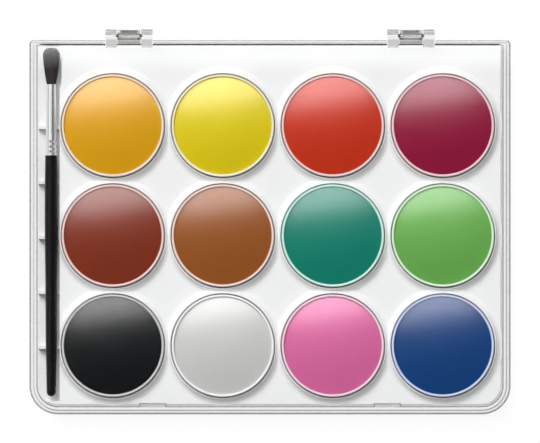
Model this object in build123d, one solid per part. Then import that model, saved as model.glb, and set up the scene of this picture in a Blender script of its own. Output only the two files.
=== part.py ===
from build123d import *
import math
import os

# Watercolour paint set: a clear hinged box with a white insert, twelve paint cups and a brush.
# Millimetres, +Z up, +Y towards the hinges. The origin is the middle of the closed box's
# footprint, on the surface that the box rests on.

# Paint cups and cakes
cup_diameter = 30.8
cup_height = 6.0
cup_wall = 0.7
cup_floor = 0.6
cup_draft = 0.15            # how much narrower the foot's radius is than the rim's
cake_fit = 0.02
cake_recess = 0.8           # from the cup's rim down to the cake's edge
cake_crown = 0.8
paint_names = [
    ["ochre", "yellow", "vermilion", "crimson"],
    ["red_brown", "brown", "teal_green", "light_green"],
    ["black", "white", "pink", "blue"],
]
pan_rows = len(paint_names)
pan_columns = len(paint_names[0])

# White insert
sheet = 0.6
cup_fit = 0.35
pan_spacing = 1.55          # between the mouths of two wells
well_floor_sheet = 0.8
collar_height = 1.4
collar_land = 0.3
collar_sweep = 1.9          # how far the collar's flank runs out over the plate
collar_drop = 1.0           # from the cup's rim down to the collar's top
insert_gap = 0.2
insert_back_gap = 0.8
pan_margin_right = 1.95
pan_margin_left = 0.25
pan_margin_front = 2.25
pan_margin_back = 8.15
channel_width = 6.4
channel_end = 1.35          # from the insert's front edge to the channel's front end
tuft_pocket_gap = 0.35
rib_count = 5
rib_thickness = 1.0
rib_rise = 2.6
rib_shift = -0.5            # from a pan row's middle line to its rib
rib_fit = 0.15
insert_edge_round = 0.5

# Clear base tray
base_floor = 1.2
skirt_wall = 1.0
lip_gap = 0.15
lip_wall = 1.25
lip_height = 1.8
lip_round = 0.4
flange_height = 1.4
seam_rise = 0.4             # from the cups' rims up to the seam
seam_gap = 0.1
back_wall = 1.0
back_wall_round = 0.3
swing_gap = 0.15            # between the back wall's top and the lid's rear edge as it swings over
front_corner = 8.6
back_corner = 1.5
foot_round = 0.8

# Clear lid
headroom = 4.9              # from the cups' rims up to the lid's plate
lid_plate = 1.2
lid_back_gap = 0.5
rear_rib_wall = 0.8
rear_rib_depth = 1.2
lid_edge_round = 0.9
lid_back_round = 0.3
bead_inset = 1.35
bead_width = 2.3
bead_height = 0.5
bead_round = 0.45
gate_diameter = 1.5
gate_depth = 0.25
gate_right = 45.2
gate_back = 13.7

# Front catches
catch_spacing = 70.4
catch_width = 8.1
catch_wall = 0.9
catch_gap = 0.2
catch_reach = 3.6           # from the lid's plate down to the tab's end
catch_bump = 0.15
catch_bump_radius = 0.4
catch_pad = 0.95            # how far the bead widens over a tab

# Hinges
hinge_spacing = 84.6
knuckle_width = 6.8
ear_width = 3.5
ear_gap = 0.25
knuckle_radius = 2.1
ear_radius = 2.2
pin_radius = 0.9
pin_fit = 0.05
pin_length = 1.45
pin_chamfer = 0.2
hinge_overhang = 1.0        # from the back wall's outer face to the pin's axis
gusset_drop = 3.95          # from the pin's axis down to the gusset's foot
notch_gap = 0.25
window_front = 0.25
window_narrow = 4.4
window_wide = 5.4
window_sink = 0.4

# Brush
handle_radius = 2.0
shoulder_radius = 1.83
handle_waist_radius = 1.8
handle_slim_radius = 1.68
tail_radius = 1.38
belly_reach = 17.0          # from the shoulder down to the belly
waist_reach = 37.0          # from the shoulder down to the waist
slim_reach = 15.4           # from the tail's end up to where it slims
handle_gap = 0.5            # from the handle's side to the channel's wall
brush_drop = 0.1            # from the cups' rims down to the handle's top
brush_end_gap = 1.35
brush_tip_gap = 0.45
ferrule_length = 21.4
ferrule_mouth_radius = 1.45
ferrule_crimp_radius = 1.65
ferrule_wall = 0.2
ferrule_fit = 0.02
crimp_first = 0.8           # from the ferrule's handle end to its first groove
crimp_pitch = 1.5
crimp_count = 3
crimp_depth = 0.18
crimp_width = 0.7
tang_length = 9.0
tuft_length = 11.0
tuft_radius = 2.72
tuft_root_length = 4.0
root_drop = 0.5             # from the ferrule's mouth down to the glued root
root_spread = 1.12
strand_count = 300
strand_sides = 3
strand_fill = 0.8           # a strand's width as a share of the space between two strands
packing = 1.8               # that space, for one strand spread over a disc of unit radius
belly_share = 0.55          # of the tuft's length, up to where it widens more slowly
belly_spread = 0.92
tip_round = 1.6             # how much shorter the outermost strands are

# Worked out: plan sizes
cup_radius = cup_diameter / 2
well_radius = cup_radius + cup_fit
pan_pitch = 2 * well_radius + pan_spacing
pans_wide = (pan_columns - 1) * pan_pitch + 2 * well_radius
pans_deep = (pan_rows - 1) * pan_pitch + 2 * well_radius
rim_band = skirt_wall + lip_gap + lip_wall
insert_width = channel_width + pan_margin_left + pans_wide + pan_margin_right
insert_depth = pan_margin_front + pans_deep + pan_margin_back
box_width = insert_width + 2 * (rim_band + insert_gap)
box_depth = insert_depth + rim_band + back_wall + insert_gap + insert_back_gap
side = box_width / 2
back = box_depth / 2
insert_side = insert_width / 2
insert_front = rim_band + insert_gap - back
insert_back = insert_front + insert_depth
channel_right = channel_width - insert_side
first_pan_x = channel_right + pan_margin_left + well_radius
first_row_y = insert_front + pan_margin_front + well_radius

# Worked out: heights
well_floor = base_floor + well_floor_sheet
cup_rim = well_floor + cup_height
collar_top = cup_rim - collar_drop
plate_top = collar_top - collar_height
seam = cup_rim + seam_rise
skirt_bottom = seam + seam_gap
lid_underside = cup_rim + headroom
lid_top = lid_underside + lid_plate

# Worked out: hinge
back_wall_inner = back - back_wall
lid_back = back_wall_inner - lid_back_gap
pin_y = back + hinge_overhang
pin_z = lid_top - ear_radius
ear_inner = knuckle_width / 2 + ear_gap
hinge_half = ear_inner + ear_width
swing_radius = pin_y - lid_back - swing_gap
back_wall_top = pin_z + math.sqrt(swing_radius ** 2 - (pin_y - back_wall_inner) ** 2)

# Worked out: brush
brush_x = channel_right - handle_gap - handle_radius
brush_z = cup_rim - brush_drop - handle_radius
tuft_tip = insert_back - brush_tip_gap
ferrule_mouth = tuft_tip - tuft_length
shoulder = ferrule_mouth - ferrule_length
handle_end = insert_front + channel_end + brush_end_gap
handle_length = shoulder - handle_end


def plan(inset, back_inset, back_radius):
    """The box's outline drawn in by inset on three sides and by back_inset at the hinges."""
    front_y = inset - back
    back_y = back - back_inset
    face = Pos(0, (front_y + back_y) / 2) * Rectangle(2 * (side - inset), back_y - front_y)
    face = fillet(face.vertices().sort_by(Axis.Y)[:2], front_corner - inset)
    if back_radius > 0:
        face = fillet(face.vertices().sort_by(Axis.Y)[-2:], back_radius)
    return face


def slab(face, low, high):
    """The face drawn up from one height to another."""
    return extrude(Pos(0, 0, low) * face, high - low)


def block(x0, x1, y0, y1, z0, z1):
    """A plain block between six planes."""
    return Pos((x0 + x1) / 2, (y0 + y1) / 2, (z0 + z1) / 2) * Box(x1 - x0, y1 - y0, z1 - z0)


def across(profile, x0, x1):
    """A profile of (y, z) points drawn along X between two planes."""
    face = Plane.YZ * make_face(Polyline(*profile, close=True))
    return Pos(x0, 0, 0) * extrude(face, x1 - x0, dir=(1, 0, 0))


def bar(radius, x0, x1, y, z):
    """A round bar along X."""
    return Pos((x0 + x1) / 2, y, z) * Rot(0, 90, 0) * Cylinder(radius, x1 - x0)


def tangent_point(point, radius, turn):
    """Where a line from the (y, z) point touches a circle about the pin's axis."""
    away = math.hypot(pin_y - point[0], pin_z - point[1])
    aim = math.atan2(pin_z - point[1], pin_y - point[0])
    aim += turn * math.asin(radius / away)
    reach = math.sqrt(away ** 2 - radius ** 2)
    return (point[0] + reach * math.cos(aim), point[1] + reach * math.sin(aim))


def pan_places():
    """The name and place of each pan, from the back row's left end."""
    for row, names in enumerate(paint_names):
        for column, name in enumerate(names):
            x = first_pan_x + column * pan_pitch
            y = first_row_y + (pan_rows - 1 - row) * pan_pitch
            yield name, x, y


def at_pans(solid):
    """A copy of the solid at every pan."""
    return [Pos(x, y, 0) * solid for name, x, y in pan_places()]


def turned(profile):
    """A profile of (radius, z) points turned about the Z axis."""
    return revolve(Plane.XZ * make_face(Polyline(*profile, close=True)), Axis.Z)


# Base tray

def hinge_knuckle(x):
    """The barrel that takes both stub pins, its gusset and its core-out window."""
    foot = (back, pin_z - gusset_drop)
    touch = tangent_point(foot, knuckle_radius, -1)
    web_profile = [
        (back_wall_inner, foot[1]),
        foot,
        touch,
        (pin_y, pin_z),
        (back_wall_inner, pin_z),
    ]
    half = knuckle_width / 2
    knuckle = across(web_profile, -half, half) + bar(knuckle_radius, -half, half, pin_y, pin_z)
    knuckle -= bar(pin_radius + pin_fit, -half, half, pin_y, pin_z)
    window = [
        (-window_narrow / 2, pin_y + window_front),
        (window_narrow / 2, pin_y + window_front),
        (window_wide / 2, pin_y + knuckle_radius),
        (-window_wide / 2, pin_y + knuckle_radius),
    ]
    knuckle -= slab(make_face(Polyline(*window, close=True)), pin_z - window_sink, lid_top)
    return Pos(x, 0, 0) * knuckle


def seam_lip():
    """The lip that stands up inside the lid's skirt, rounded along its inner edge."""
    lip = slab(plan(skirt_wall + lip_gap, 0, 0), seam, seam + lip_height)
    lip -= slab(plan(rim_band, back_wall, 0), seam, seam + lip_height)
    inner_edges = lip.faces().sort_by(Axis.Z)[-1].inner_wires()[0].edges()
    return fillet(inner_edges.sort_by(Axis.Y)[:-1], lip_round)


def base_tray():
    """Clear tray: inset wall, seam flange, lip, tall back wall and two knuckles."""
    foot = slab(plan(skirt_wall, 0, 0), 0, seam)
    foot = fillet(foot.edges().group_by(Axis.Z)[0], foot_round)
    flange = slab(plan(0, 0, back_corner), seam - flange_height, seam)
    lip_side = side - skirt_wall - lip_gap
    wall = block(-lip_side, lip_side, back_wall_inner, back, seam, back_wall_top)
    wall = fillet(wall.edges().filter_by(Axis.X).group_by(Axis.Z)[-1], back_wall_round)
    tray = foot + flange + seam_lip() + wall
    tray -= slab(plan(rim_band, back_wall, 0), base_floor, lid_top)
    for x in (-hinge_spacing / 2, hinge_spacing / 2):
        reach = hinge_half + notch_gap
        tray -= block(x - reach, x + reach, back_wall_inner - back_wall, back + back_wall, seam, lid_top)
        tray += hinge_knuckle(x)
    return tray


# Lid

def bead():
    """The raised bead along three edges, with round ends and a wider part over each catch tab."""
    x = side - bead_inset
    end = back - bead_inset
    radius = front_corner - bead_inset
    path = FilletPolyline((-x, end), (-x, -end), (x, -end), (x, end), radius=radius)
    band = make_face(offset(path, bead_width / 2, kind=Kind.ARC))
    reach = bead_width / 2 + catch_pad
    for tab_x in (-catch_spacing / 2, catch_spacing / 2):
        band += Pos(tab_x, reach / 2 - end) * Rectangle(catch_width, reach)
    ridge = slab(band, lid_top - bead_height, lid_top + bead_height)
    return fillet(ridge.edges().group_by(Axis.Z)[-1], bead_round)


def hinge_ear(inner, outer):
    """One rounded ear from the lid's rear rib to the pin's axis."""
    root_y = lid_back - rear_rib_wall
    root = (root_y, lid_underside - rear_rib_depth)
    touch = tangent_point(root, ear_radius, -1)
    profile = [root, touch, (pin_y, pin_z), (pin_y, lid_top), (root_y, lid_top)]
    low = min(inner, outer)
    high = max(inner, outer)
    return across(profile, low, high) + bar(ear_radius, low, high, pin_y, pin_z)


def stub_pin(face, direction):
    """A stub pin that points from an ear's inner face to the knuckle."""
    end = face + direction * pin_length
    pin = bar(pin_radius, min(face, end), max(face, end), pin_y, pin_z)
    tip = pin.edges().filter_by(GeomType.CIRCLE).sort_by(Axis.X)[0 if direction < 0 else -1]
    return chamfer(tip, pin_chamfer)


def catch_tab(x):
    """A front tab inside the base's lip, with a shallow bump that rubs on it."""
    outer = rim_band + catch_gap - back
    half = catch_width / 2
    end = lid_underside - catch_reach
    tab = block(x - half, x + half, outer, outer + catch_wall, end, lid_underside)
    bump_z = end + catch_bump_radius
    bump_y = outer + catch_bump_radius - catch_bump
    return tab + bar(catch_bump_radius, x - half, x + half, bump_y, bump_z)


def lid():
    """Clear cover: plate, skirt on three sides, bead, rear rib, ears, pins and catch tabs."""
    cover = slab(plan(0, 0, back_corner), skirt_bottom, lid_top)
    cover = fillet(cover.edges().group_by(Axis.Z)[-1], lid_edge_round)
    cover -= slab(plan(skirt_wall, 0, 0), skirt_bottom, lid_underside)
    inner_side = side - skirt_wall
    rear_space = block(-inner_side, inner_side, lid_back, back + back_wall, skirt_bottom, lid_top + bead_height)
    cover -= rear_space
    rear_edge = cover.edges().filter_by(Axis.X).filter_by_position(Axis.Z, lid_top, lid_top).sort_by(Edge.length)[-1]
    cover = fillet(rear_edge, lid_back_round)
    cover += bead() - rear_space
    rib_low = lid_underside - rear_rib_depth
    cover += block(-inner_side, inner_side, lid_back - rear_rib_wall, lid_back, rib_low, lid_underside)
    for x in (-hinge_spacing / 2, hinge_spacing / 2):
        for way in (-1, 1):
            cover += hinge_ear(x + way * ear_inner, x + way * hinge_half)
            cover += stub_pin(x + way * ear_inner, -way)
    for x in (-catch_spacing / 2, catch_spacing / 2):
        cover += catch_tab(x)
    cover -= Pos(gate_right, gate_back, lid_top - gate_depth / 2) * Cylinder(gate_diameter / 2, gate_depth)
    return cover


# White insert

def collar():
    """The raised ring round a well: a hollow-curved flank from the plate up to a narrow land."""
    land = well_radius + collar_land
    run = land + collar_sweep
    flank = TangentArc((run, plate_top), (land, collar_top), tangent=(-1, 0))
    rest = Polyline((land, collar_top), (0, collar_top), (0, well_floor), (run, well_floor), (run, plate_top))
    return revolve(Plane.XZ * make_face(flank + rest), Axis.Z)


def saddle_radius(y):
    """The brush's own radius at y, with the running gap of a rest rib."""
    if y > shoulder:
        return ferrule_crimp_radius + rib_fit
    return handle_radius + rib_fit


def rest_ribs():
    """Cross ribs in the channel with round saddles for the brush."""
    ribs = []
    for i in range(rib_count):
        y = first_row_y + rib_shift + i * pan_pitch / 2
        low = y - rib_thickness / 2
        high = y + rib_thickness / 2
        rib = block(-insert_side, channel_right + sheet / 2, low, high, base_floor, well_floor + rib_rise)
        saddle = Pos(brush_x, y, brush_z) * Rot(90, 0, 0) * Cylinder(saddle_radius(y), 2 * rib_thickness)
        ribs.append(rib - saddle)
    return ribs


def channel_space(grow, low):
    """The brush channel and its wider pocket at the tuft, grown sideways and from a given height up."""
    trough_front = insert_front + channel_end - grow
    pocket_front = ferrule_mouth - tuft_pocket_gap - grow
    pocket_right = brush_x + tuft_radius + tuft_pocket_gap + grow
    trough = block(-side, channel_right + grow, trough_front, back, low, lid_top)
    pocket = block(-side, pocket_right, pocket_front, back, low, lid_top)
    return trough + pocket


def insert_tray():
    """White formed sheet: plate, skirt, collars, wells and the brush channel with its ribs."""
    edge = rim_band + insert_gap
    back_edge = back_wall + insert_back_gap
    skin = slab(plan(edge, back_edge, insert_edge_round), base_floor, plate_top)
    skin = fillet(skin.edges().group_by(Axis.Z)[-1], insert_edge_round)
    limit = slab(plan(edge, back_edge, insert_edge_round), base_floor, collar_top)
    skin = skin + [solid & limit for solid in at_pans(collar())]
    under = slab(plan(edge + sheet, back_edge + sheet, 0), base_floor, plate_top - sheet)
    column_height = collar_top - base_floor
    column = Pos(0, 0, base_floor + column_height / 2) * Cylinder(well_radius + sheet, column_height)
    under = under - at_pans(column) - channel_space(sheet, base_floor)
    well_height = collar_top - well_floor
    well = Pos(0, 0, well_floor + well_height / 2) * Cylinder(well_radius, well_height)
    tray = skin - channel_space(0, well_floor) - under - at_pans(well)
    return tray + rest_ribs()


# Paint

def paint_cup():
    """A clear round cup that tapers a little to its foot."""
    foot = cup_radius - cup_draft
    inner = cup_radius - cup_wall
    profile = [
        (0, well_floor),
        (foot, well_floor),
        (cup_radius, cup_rim),
        (inner, cup_rim),
        (inner - cup_draft, well_floor + cup_floor),
        (0, well_floor + cup_floor),
    ]
    return turned(profile)


def paint_cake():
    """A pressed cake that fills its cup, with a low crown."""
    low = well_floor + cup_floor
    edge = cup_rim - cake_recess
    slope = cup_draft / (cup_height - cup_floor)
    low_radius = cup_radius - cup_wall - cup_draft - cake_fit
    edge_radius = low_radius + slope * (edge - low)
    crown = TangentArc((0, edge + cake_crown), (edge_radius, edge), tangent=(1, 0))
    rest = Polyline((edge_radius, edge), (low_radius, low), (0, low), (0, edge + cake_crown))
    return revolve(Plane.XZ * make_face(crown + rest), Axis.Z)


# Brush

def along_brush(solid, y):
    """Lays a solid that was built up the Z axis along the brush's axis, from y towards the hinges."""
    return Pos(brush_x, y, brush_z) * Rot(-90, 0, 0) * solid


def brush_handle():
    """Turned wood: round tail, slim waist, belly, shoulder and the tang inside the ferrule."""
    tang_radius = ferrule_mouth_radius - ferrule_wall - ferrule_fit
    tail = TangentArc((0, 0), (tail_radius, tail_radius), tangent=(1, 0))
    waist = Polyline(
        (tail_radius, tail_radius),
        (handle_slim_radius, slim_reach),
        (handle_waist_radius, handle_length - waist_reach),
    )
    belly = ThreePointArc(
        (handle_waist_radius, handle_length - waist_reach),
        (handle_radius, handle_length - belly_reach),
        (shoulder_radius, handle_length),
    )
    tang = Polyline(
        (shoulder_radius, handle_length),
        (tang_radius, handle_length),
        (tang_radius, handle_length + tang_length),
        (0, handle_length + tang_length),
        (0, 0),
    )
    profile = make_face(tail + waist + belly + tang)
    return along_brush(revolve(Plane.XZ * profile, Axis.Z), handle_end)


def brush_ferrule():
    """Drawn tube that widens to the handle, with rolled crimp grooves over the tang."""
    bore = ferrule_mouth_radius - ferrule_wall
    outline = [(bore, 0), (ferrule_crimp_radius, 0)]
    for i in range(crimp_count):
        start = crimp_first + i * crimp_pitch
        outline.append((ferrule_crimp_radius, start))
        outline.append((ferrule_crimp_radius - crimp_depth, start + crimp_width / 2))
        outline.append((ferrule_crimp_radius, start + crimp_width))
    outline.append((ferrule_mouth_radius, ferrule_length))
    outline.append((bore, ferrule_length))
    return along_brush(turned(outline), shoulder)


def strand(number):
    """One hair: a slim prism that follows the tuft's swell and ends in a point."""
    share = math.sqrt((number + 0.5) / strand_count)
    turn = number * math.pi * (3 - math.sqrt(5))
    out_x = share * math.cos(turn)
    out_y = share * math.sin(turn)
    tip = tuft_length - tip_round * share ** 4
    slices = []
    for reach, spread in [(-root_drop, root_spread), (belly_share * tuft_length, belly_spread * tuft_radius)]:
        room = spread * packing / math.sqrt(strand_count)
        spot = Pos(spread * out_x, spread * out_y, reach)
        slices.append(spot * RegularPolygon(strand_fill * room / 2, strand_sides))
    return loft([*slices, Vertex(tuft_radius * out_x, tuft_radius * out_y, tip)], ruled=True)


def brush_bristles():
    """The hair tuft and its glued root as one body: each strand grows out of the root's end face."""
    root_radius = ferrule_mouth_radius - ferrule_wall - ferrule_fit
    root = Pos(0, 0, -root_drop - tuft_root_length / 2) * Cylinder(root_radius, tuft_root_length)
    skin = root.faces().sort_by(Axis.Z)
    faces = skin[:-1]
    feet = []
    for i in range(strand_count):
        sides = strand(i).faces().sort_by(Axis.Z)
        feet.append(sides[0].outer_wire())
        faces += sides[1:]
    faces.append(Face(skin[-1].outer_wire(), feet))
    return along_brush(Solid(Shell(faces)), ferrule_mouth)


# Files

def write(name, solid):
    """One STEP file for each piece."""
    solid.label = name
    export_step(solid, "parts/" + name + ".step")


os.makedirs("parts", exist_ok=True)
write("base_tray", base_tray())
write("lid", lid())
write("insert_tray", insert_tray())
cup = paint_cup()
cake = paint_cake()
for pan_name, pan_x, pan_y in pan_places():
    write("cup_" + pan_name, Pos(pan_x, pan_y, 0) * cup)
    write("paint_" + pan_name, Pos(pan_x, pan_y, 0) * cake)
write("brush_handle", brush_handle())
write("brush_ferrule", brush_ferrule())
write("brush_bristles", brush_bristles())
print("box", round(box_width, 2), round(box_depth, 2), round(lid_top + bead_height, 2))
print("brush", round(tuft_tip - handle_end, 2), "at", round(brush_x, 2), round(brush_z, 2))
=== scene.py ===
"""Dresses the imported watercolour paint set: box, insert, twelve cups of colour and a brush.

Everything is in metres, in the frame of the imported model: the origin is the middle of the box's
bottom, +X is to the right, +Y towards the hinges and +Z up.
"""

import math
import random

import bmesh
import bpy
from bpy.props import FloatProperty, FloatVectorProperty, IntProperty, PointerProperty
from bpy.types import Operator, Panel, PropertyGroup
from mathutils import Matrix, Vector


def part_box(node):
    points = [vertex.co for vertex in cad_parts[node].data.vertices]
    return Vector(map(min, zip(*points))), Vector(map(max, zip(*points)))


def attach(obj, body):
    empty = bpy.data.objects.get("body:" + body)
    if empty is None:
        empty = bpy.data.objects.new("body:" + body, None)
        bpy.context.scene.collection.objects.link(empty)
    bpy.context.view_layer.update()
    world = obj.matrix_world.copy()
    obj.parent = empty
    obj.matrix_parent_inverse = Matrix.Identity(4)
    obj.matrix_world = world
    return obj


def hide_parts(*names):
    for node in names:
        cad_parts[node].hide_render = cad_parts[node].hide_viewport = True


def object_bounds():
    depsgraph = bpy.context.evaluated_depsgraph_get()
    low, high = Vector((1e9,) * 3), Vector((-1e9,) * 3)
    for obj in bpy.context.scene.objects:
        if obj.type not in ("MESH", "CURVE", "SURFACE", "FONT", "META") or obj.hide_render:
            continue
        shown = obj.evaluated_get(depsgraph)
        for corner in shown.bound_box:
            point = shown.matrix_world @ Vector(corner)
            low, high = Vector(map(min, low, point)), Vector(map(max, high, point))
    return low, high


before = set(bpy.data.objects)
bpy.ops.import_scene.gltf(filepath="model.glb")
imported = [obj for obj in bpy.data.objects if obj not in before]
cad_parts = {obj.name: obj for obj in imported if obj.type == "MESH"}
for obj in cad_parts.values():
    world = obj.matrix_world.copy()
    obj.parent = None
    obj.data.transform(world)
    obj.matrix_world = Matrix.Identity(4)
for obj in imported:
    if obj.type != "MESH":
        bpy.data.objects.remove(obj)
CAD_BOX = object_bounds()

bl_info = {
    "name": "Watercolour Paint Set",
    "version": (1, 0, 0),
    "blender": (4, 5, 0),
    "location": "View3D > Sidebar > Paint Set",
    "description": "Finishes the paint set's box, insert, cups, colours and brush, and lights them",
    "category": "Object",
}

MM = 0.001
ORIGIN = Vector((0.0, 0.0, 0.0))
UP = Vector((0.0, 0.0, 1.0))
PAINT_NAMES = [
    node[len("paint_"):] for node in sorted(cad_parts) if node.startswith("paint_")
]


# Colours


def linear(code):
    """The scene colour of a screen colour that is written as six hexadecimal digits."""
    shares = [int(code[start:start + 2], 16) / 255 for start in (0, 2, 4)]
    return tuple(
        share / 12.92 if share <= 0.04045 else ((share + 0.055) / 1.055) ** 2.4
        for share in shares
    )


def towards(colour, other, share):
    """A colour that lies this share of the way from one colour to another."""
    return tuple(a + (b - a) * share for a, b in zip(colour, other))


WHITE = (1.0, 1.0, 1.0)
BLACK = (0.0, 0.0, 0.0)

# Places in the clear mouldings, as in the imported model

HINGE_X = 42.3 * MM
HINGE_HALF_WIDTH = 7.0 * MM
HINGE_FRONT = 53.5 * MM
KNUCKLE_FRONT = 56.4 * MM
LID_ROUNDS = 13.0 * MM
PIN_X = 3.55 * MM
PIN_Y = 57.4 * MM
PIN_LOW = 11.0 * MM
PIN_PAINTED_SHADE = 0.5 * MM
WINDOW_Z = 11.5 * MM
WINDOW_FRONT = 57.3 * MM
WINDOW_BACK = 59.2 * MM
GAP_FRONT = 54.45 * MM
GAP_BACK = 55.25 * MM
GAP_TOP = 1.4 * MM
GAP_SIDE = 69.3 * MM

# How wide the soft edges of those places are

HAIRLINE = 0.02 * MM
CRISP = 0.1 * MM
FINE = 0.2 * MM
SOFT = 0.5 * MM
KNUCKLE_FADE = 0.6 * MM
GAP_FADE = 1.0 * MM

# How level a face of the clear mouldings is, where its painted grey, a painted shade, begins and
# ends

LEVEL = 0.93
LEVEL_FADE = 0.1
STEEP = 0.1
STEEP_FADE = 0.2

# How dark the painted shade and painted shadow of those places are, where 1 is black

HINGE_EDGE_PAINTED_SHADE = 0.75
KNUCKLE_PAINTED_SHADE = 0.2
WINDOW_PAINTED_SHADE = 0.9
GAP_PAINTED_SHADOW = 0.95

# The insert's strip of painted light behind the cups, and how much darker the painted shade on the
# rest of it is

PAINTED_LIGHT_FRONT = 48.5 * MM
PAINTED_LIGHT_FADE = 5.0 * MM
INSERT_PAINTED_SHADE = 0.15

# The hair tuft

TUFT_SEED = 7
TUFT_RING_START = 0.6
STRAND_SPACING = 1.1
STRAND_JITTER = 0.3
STRAND_SIDES = 4
POINT_FROM = 0.7
POINT_SCALE = 0.7
CROWN_POWER = 4
SWELL_POWER = 1.5

# The stage: the share of the floor's own glow that each kind of ray sees, and what a mirror sees
# of the sky, as heights from the horizon at 0 to overhead at 1 with their shares of white

FLOOR_GAP = 0.02 * MM
FLOOR_GLOW = 1.03
GLOW_FOR_CAMERA = 0.85
GLOW_FOR_MIRRORS = 0.4
GLOW_THROUGH_GLASS = 0.6
MIRRORED_SKY = ((0.0, 1.0), (0.12, 1.0), (0.5, 0.3), (0.8, 0.16), (1.0, 0.02))


# Shader maths


class Value:
    """One output socket of a node tree. Arithmetic on it adds Math nodes."""

    def __init__(self, tree, socket):
        self.tree = tree
        self.socket = socket

    def maths(self, operation, first, second):
        return self.tree.node("ShaderNodeMath", {"operation": operation}, {0: first, 1: second})

    def __add__(self, other):
        return self.maths("ADD", self, other)

    def __radd__(self, other):
        return self.maths("ADD", other, self)

    def __sub__(self, other):
        return self.maths("SUBTRACT", self, other)

    def __rsub__(self, other):
        return self.maths("SUBTRACT", other, self)

    def __mul__(self, other):
        return self.maths("MULTIPLY", self, other)

    def __rmul__(self, other):
        return self.maths("MULTIPLY", other, self)

    def __truediv__(self, other):
        return self.maths("DIVIDE", self, other)

    def __rtruediv__(self, other):
        return self.maths("DIVIDE", other, self)

    def __pow__(self, other):
        return self.maths("POWER", self, other)

    def __rpow__(self, other):
        return self.maths("POWER", other, self)

    def __abs__(self):
        return self.maths("ABSOLUTE", self, 0.0)

    def below(self, limit, soft):
        """1 where the value is well below the limit and 0 well above it, over a soft edge."""
        span = {"From Min": limit - soft / 2, "From Max": limit + soft / 2}
        ends = {"To Min": 1.0, "To Max": 0.0}
        return self.tree.node("ShaderNodeMapRange", inputs={"Value": self, **span, **ends})

    def between(self, low, high, soft):
        """1 where the value lies between the two limits and 0 outside them, over soft edges."""
        return self.below(high, soft) * (1 - self.below(low, soft))


class Tree:
    """A node tree under construction, of a material or of the world."""

    def __init__(self, owner):
        owner.use_nodes = True
        self.owner = owner
        self.nodes = owner.node_tree.nodes
        self.links = owner.node_tree.links
        self.nodes.clear()

    def node(self, kind, settings=None, inputs=None, output=0):
        """Adds a node, sets its settings and then its sockets, and gives one of its outputs."""
        made = self.nodes.new(kind)
        for name, setting in (settings or {}).items():
            if name == "stops":
                ramp = made.color_ramp.elements
                while len(ramp) < len(setting):
                    ramp.new(1.0)
                for stop, (place, colour) in zip(ramp, setting):
                    stop.position = place
                    stop.color = (*colour, 1.0)
            else:
                setattr(made, name, setting)
        for name, given in (inputs or {}).items():
            if isinstance(given, Value):
                self.links.new(given.socket, made.inputs[name])
            else:
                made.inputs[name].default_value = given
        return Value(self, made.outputs[output])

    def place(self):
        """Object coordinates, which are the frame's own, in metres."""
        return self.node("ShaderNodeTexCoord", output="Object")

    def along(self, axis):
        return self.node("ShaderNodeSeparateXYZ", inputs={0: self.place()}, output=axis)

    def levelness(self):
        """1 on a level face and 0 on an upright one, however the piece is turned."""
        facing = self.node("ShaderNodeNewGeometry", output="True Normal")
        space = {"vector_type": "NORMAL", "convert_from": "WORLD", "convert_to": "OBJECT"}
        facing = self.node("ShaderNodeVectorTransform", space, {"Vector": facing})
        return abs(self.node("ShaderNodeSeparateXYZ", inputs={0: facing}, output="Z"))

    def noise(self, size, detail=2.0, stretch=(1.0, 1.0, 1.0)):
        """Smooth noise from 0 to 1 whose blotches are about this many metres across."""
        scale = Vector(stretch) / size
        at = self.node("ShaderNodeMapping", inputs={"Vector": self.place(), "Scale": scale})
        sockets = {"Vector": at, "Scale": 1.0, "Detail": detail}
        return self.node("ShaderNodeTexNoise", inputs=sockets)

    def ramp(self, value, stops):
        """The colour at this value between stops, each of them a place and its colour."""
        return self.node("ShaderNodeValToRGB", {"stops": stops}, {0: value})

    def greatest(self, first, *others):
        for other in others:
            first = self.node("ShaderNodeMath", {"operation": "MAXIMUM"}, {0: first, 1: other})
        return first

    def mix(self, factor, first, second, blend="MIX"):
        """The two colours, mixed by the factor."""
        sockets = {"Factor": factor, 6: colour_of(first), 7: colour_of(second)}
        settings = {"data_type": "RGBA", "blend_type": blend}
        return self.node("ShaderNodeMix", settings, sockets, output=2)

    def bump(self, height, strength, distance):
        sockets = {"Height": height, "Strength": strength, "Distance": distance}
        return self.node("ShaderNodeBump", inputs=sockets, output="Normal")

    def principled(self, **sockets):
        """A Principled shader. A socket's name is written with underscores for its spaces."""
        inputs = {}
        for name, value in sockets.items():
            socket = name.replace("_", " ").replace("Ior", "IOR")
            inputs[socket] = colour_of(value) if socket.endswith("Color") else value
        return self.node("ShaderNodeBsdfPrincipled", inputs=inputs)

    def see_through(self, colour):
        """A shader that lets light straight through and tints it."""
        return self.node("ShaderNodeBsdfTransparent", inputs={"Color": colour_of(colour)})

    def shaders(self, factor, first, second):
        return self.node("ShaderNodeMixShader", inputs={0: factor, 1: first, 2: second})

    def any_ray(self, *kinds):
        """1 for rays of any of these kinds, and 0 for others."""
        return self.greatest(*(self.node("ShaderNodeLightPath", output=kind) for kind in kinds))

    def finish(self, surface, output="ShaderNodeOutputMaterial", inside=None):
        ending = self.nodes.new(output)
        self.links.new(surface.socket, ending.inputs["Surface"])
        if inside:
            self.links.new(inside.socket, ending.inputs["Volume"])
        return self.owner


def colour_of(given):
    """A colour as a socket takes it, with its fourth number."""
    return given if isinstance(given, Value) else (*given, 1.0)


def material(name):
    return Tree(bpy.data.materials.new(name))


# Finishes


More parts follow.
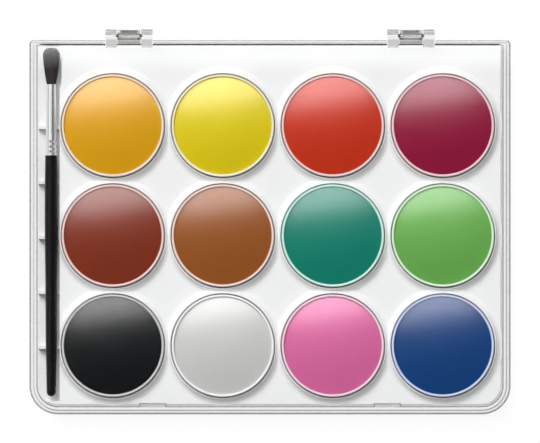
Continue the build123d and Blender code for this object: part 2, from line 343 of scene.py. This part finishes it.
def clear_moulding(name, looks):
    """Clear styrene: it bends and mirrors what is seen through it, and lets the lamps through.

    The rounded edges of the lid and of the hinges get a painted grey, a painted shade that stands
    in for the dark of the room that they would bend in, and the knuckles a slight painted shade. A
    painted shadow darkens the gap behind the insert, and painted shade darkens the floor of each
    hinge's window and the ends of the stub pins.
    """
    tree = material(name)
    x, y, z = (tree.along(axis) for axis in "XYZ")
    beside = abs(abs(x) - HINGE_X)
    hinge = beside.below(HINGE_HALF_WIDTH, SOFT) * (1 - y.below(HINGE_FRONT, SOFT))
    high = 1 - z.below(LID_ROUNDS, CRISP)
    # Painted shade: rounded edges are greyed in the colour, standing in for the dark they would
    # bend in, more strongly on the hinges
    level = tree.levelness()
    rounded = level.below(LEVEL, LEVEL_FADE) * (1 - level.below(STEEP, STEEP_FADE))
    edge = rounded * looks.edge_painted_shade
    edge = edge * tree.greatest(high * (1 - hinge), hinge * HINGE_EDGE_PAINTED_SHADE)
    # Painted shade: the knuckles behind the back wall are slightly greyed
    knuckle_painted_shade = (1 - y.below(KNUCKLE_FRONT, KNUCKLE_FADE)) * KNUCKLE_PAINTED_SHADE
    # Painted shade: the floor of each hinge's window is darkened
    window = y.between(WINDOW_FRONT, WINDOW_BACK, CRISP)
    window = window * abs(z - WINDOW_Z).below(CRISP, HAIRLINE) * WINDOW_PAINTED_SHADE
    # Painted shadow: the base's floor in the gap behind the insert is darkened
    gap = y.between(GAP_FRONT, GAP_BACK, CRISP) * z.below(GAP_TOP, FINE)
    gap = gap * abs(x).below(GAP_SIDE, GAP_FADE) * GAP_PAINTED_SHADOW
    # Painted shade: a dark round spot at the end of each stub pin
    away = ((beside - PIN_X) ** 2 + (y - PIN_Y) ** 2) ** 0.5
    pin_painted_shade = away.below(PIN_PAINTED_SHADE, FINE) * (1 - z.below(PIN_LOW, FINE))
    # All of these painted shades and the painted shadow darken the colour towards black
    dark = tree.greatest(edge, knuckle_painted_shade, window, gap, pin_painted_shade)
    flow = tree.noise(looks.flow_size, stretch=(1.0, 0.35, 1.0))
    body = tree.principled(
        Base_Color=tree.mix(dark, looks.clear_tint, BLACK),
        Roughness=0.04,
        Ior=1.5,
        Transmission_Weight=1.0,
        Normal=tree.bump(flow, looks.flow_strength, 0.02 * MM),
    )
    open_way = tree.see_through((looks.clear_shade,) * 3)
    depth = {"Color": colour_of(BLACK), "Density": looks.clear_depth}
    inside = tree.node("ShaderNodeVolumeAbsorption", inputs=depth)
    seen = tree.any_ray("Is Camera Ray", "Is Transmission Ray")
    return tree.finish(tree.shaders(seen, open_way, body), inside=inside)


def cup_moulding(name, looks, paint):
    """Clear cup plastic, tinted with a painted refraction of the colour of the paint that it holds.
    """
    tree = material(name)
    # Painted refraction: the paint's colour, brightened, tints the cup as if seen through its rim
    painted_refraction_colour = [part / max(*paint, 0.2) for part in paint]
    tint = towards(WHITE, painted_refraction_colour, looks.cup_tint)
    body = tree.principled(Base_Color=tint, Roughness=0.3, Ior=1.5)
    return tree.finish(tree.shaders(looks.cup_cover, tree.see_through(tint), body))


def insert_sheet(name, looks):
    """White formed styrene sheet with a fine satin grain, with painted light in the strip behind
    the cups and painted shade over the rest.
    """
    tree = material(name)
    grain = tree.noise(0.35 * MM, detail=3.0)
    cloud = tree.noise(18.0 * MM)
    # Painted light behind the cups and painted shade in front, mixed with random cloud
    drawn = tree.along("Y").below(PAINTED_LIGHT_FRONT, PAINTED_LIGHT_FADE) * 0.85 + cloud * 0.15
    painted_shade_white = towards(looks.insert_white, BLACK, INSERT_PAINTED_SHADE)
    body = tree.principled(
        Base_Color=tree.mix(drawn, looks.insert_white, painted_shade_white),
        Roughness=0.3 + 0.1 * grain,
        Ior=1.5,
        Normal=tree.bump(grain, 0.25, 0.03 * MM),
    )
    return tree.finish(body)


def pressed_colour(name, looks, paint):
    """Pressed watercolour: finely grained and a little uneven, with a soft lustre and a skin."""
    tree = material(name)
    grain = tree.noise(0.22 * MM, detail=4.0)
    cloud = tree.noise(5.0 * MM, detail=3.0)
    deep = towards(paint, BLACK, looks.paint_variation)
    body = tree.principled(
        Base_Color=tree.mix(cloud, deep, paint),
        Metallic=looks.paint_lustre,
        Roughness=0.3 + 0.08 * grain,
        Specular_Ior_Level=0.0,
        Coat_Weight=1.0,
        Coat_Roughness=looks.paint_roughness,
        Coat_Ior=looks.paint_ior,
        Normal=tree.bump(grain, 0.2, 0.02 * MM),
    )
    return tree.finish(body)


def black_lacquer(name, looks):
    """Black lacquer over turned wood, with a faint grain."""
    tree = material(name)
    grain = tree.noise(0.5 * MM, detail=3.0, stretch=(1.0, 0.05, 1.0))
    body = tree.principled(
        Base_Color=looks.lacquer,
        Roughness=0.2 + 0.08 * grain,
        Specular_Ior_Level=0.2,
        Normal=tree.bump(grain, 0.15, 0.03 * MM),
    )
    return tree.finish(body)


def drawn_aluminium(name, looks):
    """Polished drawn aluminium with fine lines along the tube."""
    tree = material(name)
    lines = tree.noise(0.12 * MM, detail=3.0, stretch=(1.0, 0.02, 1.0))
    body = tree.principled(
        Base_Color=looks.ferrule,
        Metallic=1.0,
        Roughness=0.24 + 0.1 * lines,
        Normal=tree.bump(lines, 0.12, 0.02 * MM),
    )
    return tree.finish(body)


def brush_hair(name, looks, mouth, tip):
    """Soft hair: dark near the ferrule and grey at the tip, with lighter and darker strands."""
    tree = material(name)
    height = (tree.along("Y") - mouth) / (tip - mouth)
    strands = tree.noise(0.3 * MM, detail=2.0, stretch=(1.0, 0.08, 1.0))
    stops = [
        (0.0, looks.hair_base),
        (0.4, looks.hair_dark),
        (0.55, looks.hair_middle),
        (0.82, looks.hair_tip),
    ]
    colour = tree.ramp(height + (strands - 0.5) * 0.22, stops)
    shade = tree.mix(strands, towards(BLACK, WHITE, 0.4), WHITE)
    body = tree.principled(
        Base_Color=tree.mix(1.0, colour, shade, blend="MULTIPLY"),
        Roughness=0.45 + 0.2 * strands,
        Sheen_Weight=0.15,
    )
    return tree.finish(body)


# What a user may change


def colour_property(name, description, code):
    bounds = {"size": 3, "min": 0.0, "max": 1.0}
    return FloatVectorProperty(
        name=name, description=description, subtype="COLOR", default=linear(code), **bounds
    )


def length_property(name, description, millimetres):
    bounds = {"unit": "LENGTH", "min": 0.0}
    return FloatProperty(
        name=name, description=description, default=millimetres * MM, **bounds
    )


def number_property(name, description, number):
    return FloatProperty(name=name, description=description, default=number)


def across_property(name, degrees):
    description = "Angle of the panel's middle to the right of the vertical"
    return angle_property(name, description, degrees)


def along_property(name, degrees):
    return angle_property(name, "Angle of the panel's middle behind the vertical", degrees)


def angle_property(name, description, degrees):
    return FloatProperty(
        name=name, description=description, subtype="ANGLE", default=math.radians(degrees)
    )


class PaintColours(PropertyGroup):
    """The twelve pressed colours, each named as its cup and cake are."""

    ochre: colour_property("Ochre", "Colour of the ochre cake", "e3a603")
    yellow: colour_property("Yellow", "Colour of the yellow cake", "e5d008")
    vermilion: colour_property("Vermilion", "Colour of the vermilion cake", "cb3210")
    crimson: colour_property("Crimson", "Colour of the crimson cake", "930c3a")
    red_brown: colour_property("Red brown", "Colour of the red brown cake", "853118")
    brown: colour_property("Brown", "Colour of the brown cake", "9a561d")
    teal_green: colour_property("Teal green", "Colour of the teal green cake", "03836f")
    light_green: colour_property("Light green", "Colour of the light green cake", "6cb152")
    black: colour_property("Black", "Colour of the black cake", "0b0e10")
    white: colour_property("White", "Colour of the white cake", "d2d3d0")
    pink: colour_property("Pink", "Colour of the pink cake", "de6ba4")
    blue: colour_property("Blue", "Colour of the blue cake", "084180")


class FinishLooks(PropertyGroup):
    """Colours and sizes of the finishes."""

    clear_tint: colour_property("Clear tint", "Tint of the clear box", "ffffff")
    clear_shade: number_property("Clear shade", "Share of light that one skin passes on", 0.95)
    clear_depth: number_property("Clear depth", "How fast light fades in it, per metre", 6.0)
    flow_size: length_property("Flow size", "Width of the waves in the clear mouldings", 22.0)
    flow_strength: number_property("Flow strength", "How strong those waves are", 0.012)
    # Share of painted grey on the rounded edges, a painted shade
    edge_painted_shade: number_property("Edge grey", "How grey the rounded edges are", 0.87)
    # Share of the painted refraction of the paint's colour in its cup
    cup_tint: number_property("Cup tint", "Share of the paint's colour in its cup", 0.34)
    cup_cover: number_property("Cup cover", "Share of light that a cup's wall stops", 0.84)
    insert_white: colour_property("Insert white", "Colour of the formed insert", "f9fafa")
    paint_lustre: number_property("Paint lustre", "Share of light mirrored in its colour", 0.22)
    paint_roughness: number_property("Paint roughness", "Roughness of the cakes' skin", 0.18)
    paint_ior: number_property("Paint gloss", "Refractive index of the cakes' skin", 1.8)
    paint_variation: number_property("Paint variation", "How uneven the colours are", 0.06)
    lacquer: colour_property("Lacquer", "Colour of the brush handle", "0d0d0e")
    ferrule: colour_property("Ferrule", "Colour of the ferrule's metal", "f1f2f3")
    hair_base: colour_property("Hair base", "Colour of the hair at the ferrule", "403633")
    hair_dark: colour_property("Hair dark", "Darkest colour of the hair", "302623")
    hair_middle: colour_property("Hair middle", "Colour of the hair above its dark", "6a6463")
    hair_tip: colour_property("Hair tip", "Colour of the hair at its tip", "a8a4a3")


class CupSizes(PropertyGroup):
    """Sizes of a paint cup. Its width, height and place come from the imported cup."""

    wall: length_property("Wall", "Thickness of the wall at the rim", 0.7)
    floor: length_property("Floor", "Thickness of the floor", 0.6)
    draft: length_property("Draft", "How much narrower the foot's radius is than the rim's", 0.15)
    rim_round: length_property("Rim round", "Radius of the rim's rounded edges", 0.22)


class TuftSizes(PropertyGroup):
    """Sizes of the brush's hair tuft. Its length and width come from the packed bristles."""

    strand: length_property("Strand width", "Width of one strand of hair", 0.085)
    rings: IntProperty(name="Rings", description="Rings of strands", default=12)
    locks: IntProperty(name="Locks", description="Sets of strands in each ring", default=6)
    steps: IntProperty(name="Steps", description="Straight lengths in one strand", default=9)
    waist: number_property("Waist", "Width at the ferrule, as a share of the belly's", 0.52)
    full: number_property("Full", "Share of the length at which the tuft is widest", 0.85)
    rounding: number_property("Rounding", "How much shorter the outermost strands are", 0.145)
    unevenness: number_property("Unevenness", "How unevenly long the strands are", 0.06)


class StageSizes(PropertyGroup):
    """The camera, the panels, the sky and the floor."""

    camera_height: length_property("Camera height", "Height above the floor", 5000.0)
    view_width: length_property("View width", "Width of the picture at the lid", 162.0)
    aim_y: length_property("Aim", "How far the camera stands towards the hinges", 1.7)
    panel_height: length_property("Panel height", "Height of the panels' middles", 5400.0)
    key_across: across_property("Key across", -25.0)
    key_along: along_property("Key along", 42.0)
    key_size: length_property("Key size", "Side of the key panel", 4000.0)
    key_glow: number_property("Key glow", "Radiance of the key panel", 12.9)
    sheen_across: across_property("Sheen across", -3.0)
    sheen_along: along_property("Sheen along", 19.5)
    sheen_size: length_property("Sheen size", "Side of the sheen panel", 2600.0)
    sheen_glow: number_property("Sheen glow", "Radiance of the sheen panel", 4.8)
    card_across: across_property("Card across", -38.0)
    card_along: along_property("Card along", 0.0)
    card_size: length_property("Card size", "Side of the card that the brush mirrors", 3800.0)
    card_glow: number_property("Card glow", "Radiance of that card", 1.45)
    sky_glow: number_property("Sky glow", "Even light from all round", 0.27)
    floor_reach: length_property("Floor reach", "Half the floor's width", 8000.0)
    floor_colour: colour_property("Floor", "Colour of the floor", "e6e6e6")


def chosen_looks():
    return bpy.context.scene.paint_set_looks


def finish_node(node, made):
    """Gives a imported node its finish, in its own material slots."""
    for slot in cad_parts[node].material_slots:
        slot.material = made


def add_piece(name, shape):
    """Makes a finished piece of a bmesh, with its normals facing out."""
    bmesh.ops.recalc_face_normals(shape, faces=shape.faces)
    mesh = bpy.data.meshes.new(name)
    shape.to_mesh(mesh)
    shape.free()
    mesh.shade_smooth()
    piece = bpy.data.objects.new(name, mesh)
    bpy.context.scene.collection.objects.link(piece)
    return piece


# Operators, one for each piece or group of like pieces


class ClearBox(Operator):
    """Finish the base tray and the lid in clear styrene"""

    bl_idname = "paint_set.clear_box"
    bl_label = "Clear Box"

    def execute(self, context):
        made = clear_moulding("clear_styrene", chosen_looks())
        finish_node("base_tray", made)
        finish_node("lid", made)
        return {"FINISHED"}


class InsertTray(Operator):
    """Finish the formed insert in white styrene sheet"""

    bl_idname = "paint_set.insert_tray"
    bl_label = "Insert Tray"

    def execute(self, context):
        finish_node("insert_tray", insert_sheet("white_sheet", chosen_looks()))
        return {"FINISHED"}


class PaintCups(Operator):
    """Spin the twelve clear cups with their round rims, each tinted with a painted refraction of
    its paint
    """

    bl_idname = "paint_set.paint_cups"
    bl_label = "Paint Cups"

    def execute(self, context):
        for name in PAINT_NAMES:
            shape = spin_cup(context.scene.paint_set_cups, *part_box("cup_" + name))
            piece = add_piece("paint_cup_" + name, shape)
            paint = getattr(context.scene.paint_set_colours, name)
            piece.data.materials.append(cup_moulding("cup_of_" + name, chosen_looks(), paint))
            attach(piece, "pan_" + name)
            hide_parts("cup_" + name)
        return {"FINISHED"}


def spin_cup(sizes, low, high):
    """A cup that fills the box between two corners: its section, rounded at the rim and spun."""
    radius = (high.x - low.x) / 2
    inner = radius - sizes.wall
    section = [
        (0.0, 0.0),
        (radius - sizes.draft, 0.0),
        (radius, high.z - low.z),
        (inner, high.z - low.z),
        (inner - sizes.draft, sizes.floor),
        (0.0, sizes.floor),
    ]
    shape = bmesh.new()
    corners = [shape.verts.new((x, 0.0, z)) for x, z in section]
    for start, end in zip(corners, corners[1:]):
        shape.edges.new((start, end))
    rounds = {"affect": "VERTICES", "offset_type": "OFFSET", "offset": sizes.rim_round}
    quality = {"segments": 4, "profile": 0.5, "material": -1}
    bmesh.ops.bevel(shape, geom=corners[2:4], **rounds, **quality)
    full_turn = {"cent": ORIGIN, "axis": UP, "angle": math.tau, "steps": 96, "use_merge": True}
    bmesh.ops.spin(shape, geom=shape.verts[:] + shape.edges[:], **full_turn)
    bmesh.ops.remove_doubles(shape, verts=shape.verts, dist=0.001 * MM)
    foot = ((low.x + high.x) / 2, (low.y + high.y) / 2, low.z)
    bmesh.ops.translate(shape, verts=shape.verts, vec=foot)
    return shape


class PaintCakes(Operator):
    """Finish the twelve pressed cakes of colour"""

    bl_idname = "paint_set.paint_cakes"
    bl_label = "Paint Cakes"

    def execute(self, context):
        for name in PAINT_NAMES:
            paint = getattr(context.scene.paint_set_colours, name)
            finish_node("paint_" + name, pressed_colour("pressed_" + name, chosen_looks(), paint))
        return {"FINISHED"}


class BrushHandle(Operator):
    """Finish the brush's handle in black lacquer"""

    bl_idname = "paint_set.brush_handle"
    bl_label = "Brush Handle"

    def execute(self, context):
        finish_node("brush_handle", black_lacquer("black_lacquer", chosen_looks()))
        return {"FINISHED"}


class BrushFerrule(Operator):
    """Finish the ferrule in polished aluminium"""

    bl_idname = "paint_set.brush_ferrule"
    bl_label = "Brush Ferrule"

    def execute(self, context):
        finish_node("brush_ferrule", drawn_aluminium("drawn_aluminium", chosen_looks()))
        return {"FINISHED"}


class HairTuft(Operator):
    """Grow the brush's tuft of fine hair in place of the packed bristles"""

    bl_idname = "paint_set.hair_tuft"
    bl_label = "Hair Tuft"

    def execute(self, context):
        sizes = context.scene.paint_set_tuft
        low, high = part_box("brush_bristles")
        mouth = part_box("brush_ferrule")[1].y
        length = high.y - mouth
        belly = (high.x - low.x - sizes.strand) / 2
        dice = random.Random(TUFT_SEED)
        tuft = bmesh.new()
        for ring in range(sizes.rings):
            share = (ring + TUFT_RING_START) / sizes.rings
            fit = math.tau * share * belly / (sizes.strand * STRAND_SPACING)
            copies = max(2, round(fit) // sizes.locks)
            for lock in range(sizes.locks):
                jitter = dice.uniform(-STRAND_JITTER, STRAND_JITTER)
                place = min(1.0, share + jitter / sizes.rings) * belly
                uneven = sizes.unevenness * dice.random() ** 2
                reach = length * (1 - sizes.rounding * share ** CROWN_POWER - uneven)
                turn = dice.uniform(0.0, math.tau)
                add_strands(tuft, sizes, length, place, reach, copies, turn)
        upright = Matrix.Rotation(-math.pi / 2, 3, "X")
        bmesh.ops.rotate(tuft, verts=tuft.verts, cent=ORIGIN, matrix=upright)
        root = ((low.x + high.x) / 2, mouth, (low.z + high.z) / 2)
        bmesh.ops.translate(tuft, verts=tuft.verts, vec=root)
        piece = add_piece("brush_hair_tuft", tuft)
        piece.data.materials.append(brush_hair("brush_hair", chosen_looks(), mouth, high.y))
        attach(piece, "brush")
        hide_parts("brush_bristles")
        return {"FINISHED"}


def add_strands(tuft, sizes, length, belly, reach, copies, turn):
    """Adds copies of one strand, spun about the brush's axis.

    The axis is Z here, with the ferrule's mouth at 0. The belly is how far the strand stands
    from the axis where the tuft is widest.
    """
    shape = bmesh.new()
    circle = {"cap_ends": False, "segments": STRAND_SIDES, "radius": sizes.strand / 2}
    ring = bmesh.ops.create_circle(shape, **circle)["verts"]
    out = belly * sizes.waist
    bmesh.ops.translate(shape, verts=ring, vec=(out, 0.0, 0.0))
    edges = list({line for corner in ring for line in corner.link_edges})
    for step in range(1, sizes.steps + 1):
        far = step / sizes.steps
        grown = bmesh.ops.extrude_edge_only(shape, edges=edges)["geom"]
        ring = [item for item in grown if isinstance(item, bmesh.types.BMVert)]
        lines = [item for item in grown if isinstance(item, bmesh.types.BMEdge)]
        edges = [line for line in lines if set(line.verts) <= set(ring)]
        swelling = 1 - max(0.0, 1 - far * reach / (sizes.full * length)) ** SWELL_POWER
        further = belly * (sizes.waist + (1 - sizes.waist) * swelling)
        bmesh.ops.translate(shape, verts=ring, vec=(further - out, 0.0, reach / sizes.steps))
        out = further
        if far > POINT_FROM:
            centre = Matrix.Translation((-out, 0.0, -far * reach))
            thinner = (POINT_SCALE, POINT_SCALE, 1.0)
            bmesh.ops.scale(shape, verts=ring, vec=thinner, space=centre)
    bmesh.ops.holes_fill(shape, edges=shape.edges)
    turned = Matrix.Rotation(turn, 3, "Z")
    bmesh.ops.rotate(shape, verts=shape.verts, cent=ORIGIN, matrix=turned)
    strand = shape.verts[:] + shape.edges[:] + shape.faces[:]
    about = {"cent": ORIGIN, "axis": UP, "use_duplicate": True}
    round_turn = {"angle": math.tau * (1 - 1 / copies), "steps": copies - 1}
    bmesh.ops.spin(shape, geom=strand, **about, **round_turn)
    mesh = bpy.data.meshes.new("strands")
    shape.to_mesh(mesh)
    shape.free()
    tuft.from_mesh(mesh)
    bpy.data.meshes.remove(mesh)


class Stage(Operator):
    """Set the floor, the world, the lamps and the camera"""

    bl_idname = "paint_set.stage"
    bl_label = "Stage"

    def execute(self, context):
        sizes = context.scene.paint_set_stage
        make_floor(sizes)
        make_world(sizes)
        make_panel(sizes, "key").visible_glossy = False
        make_panel(sizes, "sheen")
        make_panel(sizes, "card").visible_diffuse = False
        make_camera(sizes)
        context.scene.view_settings.view_transform = "Standard"
        return {"FINISHED"}


def make_floor(sizes):
    """A pale floor that keeps the box's shadow and glows white for the camera."""
    shape = bmesh.new()
    bmesh.ops.create_grid(shape, x_segments=4, y_segments=4, size=sizes.floor_reach)
    under = CAD_BOX[0].z - FLOOR_GAP
    bmesh.ops.translate(shape, verts=shape.verts, vec=(0.0, 0.0, under))
    floor = add_piece("studio_floor", shape)
    tree = material("pale_floor")
    ground = tree.principled(Base_Color=sizes.floor_colour, Roughness=0.7)
    strength = {"Color": colour_of(WHITE), "Strength": FLOOR_GLOW}
    glow = tree.node("ShaderNodeEmission", inputs=strength)
    share = (
        GLOW_FOR_CAMERA * tree.any_ray("Is Camera Ray")
        + GLOW_FOR_MIRRORS * tree.any_ray("Is Glossy Ray")
        + GLOW_THROUGH_GLASS * tree.any_ray("Is Transmission Ray")
    )
    floor.data.materials.append(tree.finish(tree.shaders(share, ground, glow)))


def make_world(sizes):
    """Even light, a white background, and for mirrors a sky that is darker overhead."""
    world = bpy.data.worlds.new("studio")
    bpy.context.scene.world = world
    tree = Tree(world)
    way = tree.node("ShaderNodeTexCoord", output="Generated")
    height = tree.node("ShaderNodeSeparateXYZ", inputs={0: way}, output="Z")
    mirrored = tree.ramp(height, [(place, (share,) * 3) for place, share in MIRRORED_SKY])
    lit = tree.mix(tree.any_ray("Is Glossy Ray"), (sizes.sky_glow,) * 3, mirrored)
    colour = tree.mix(tree.any_ray("Is Camera Ray", "Is Transmission Ray"), lit, WHITE)
    sky = tree.node("ShaderNodeBackground", inputs={"Color": colour, "Strength": 1.0})
    tree.finish(sky, output="ShaderNodeOutputWorld")


def make_panel(sizes, kind):
    """A square panel that faces the box from two angles off the vertical, across and along it."""
    across, along, side, glow = (
        getattr(sizes, kind + "_" + part) for part in ("across", "along", "size", "glow")
    )
    lamp = bpy.data.lights.new(kind + "_panel", "AREA")
    lamp.size = side
    lamp.energy = glow * math.pi * side ** 2
    panel = bpy.data.objects.new(lamp.name, lamp)
    high = sizes.panel_height
    panel.location = (high * math.tan(across), high * math.tan(along), high)
    panel.rotation_euler = panel.location.to_track_quat("Z", "Y").to_euler()
    panel.visible_camera = False
    panel.visible_transmission = False
    bpy.context.scene.collection.objects.link(panel)
    return panel


def make_camera(sizes):
    """A long lens straight above the lid, so that the box's walls stay upright in the picture."""
    data = bpy.data.cameras.new("overhead")
    camera = bpy.data.objects.new("overhead", data)
    camera.location = (0.0, sizes.aim_y, sizes.camera_height)
    to_lid = sizes.camera_height - CAD_BOX[1].z
    data.lens = data.sensor_width * to_lid / sizes.view_width
    data.clip_start = sizes.camera_height / 2
    data.clip_end = sizes.camera_height * 2
    bpy.context.scene.collection.objects.link(camera)
    bpy.context.scene.camera = camera


class PaintSetPanel(Panel):
    """Lists the paint set's pieces"""

    bl_idname = "VIEW3D_PT_paint_set"
    bl_label = "Paint Set"
    bl_space_type = "VIEW_3D"
    bl_region_type = "UI"
    bl_category = "Paint Set"

    def draw(self, context):
        for maker in MAKERS:
            self.layout.operator(maker.bl_idname)


MAKERS = (
    Stage, ClearBox, InsertTray, PaintCups, PaintCakes, BrushHandle, BrushFerrule, HairTuft
)
GROUPS = {
    "paint_set_colours": PaintColours,
    "paint_set_looks": FinishLooks,
    "paint_set_cups": CupSizes,
    "paint_set_tuft": TuftSizes,
    "paint_set_stage": StageSizes,
}


def register():
    for group_name, group in GROUPS.items():
        bpy.utils.register_class(group)
        setattr(bpy.types.Scene, group_name, PointerProperty(type=group))
    for maker in (*MAKERS, PaintSetPanel):
        bpy.utils.register_class(maker)


def unregister():
    for maker in (PaintSetPanel, *reversed(MAKERS)):
        bpy.utils.unregister_class(maker)
    for group_name, group in reversed(GROUPS.items()):
        delattr(bpy.types.Scene, group_name)
        bpy.utils.unregister_class(group)


def main():
    register()
    for maker in MAKERS:
        area, name = maker.bl_idname.split(".")
        getattr(getattr(bpy.ops, area), name)()


if __name__ == "__main__":
    main()
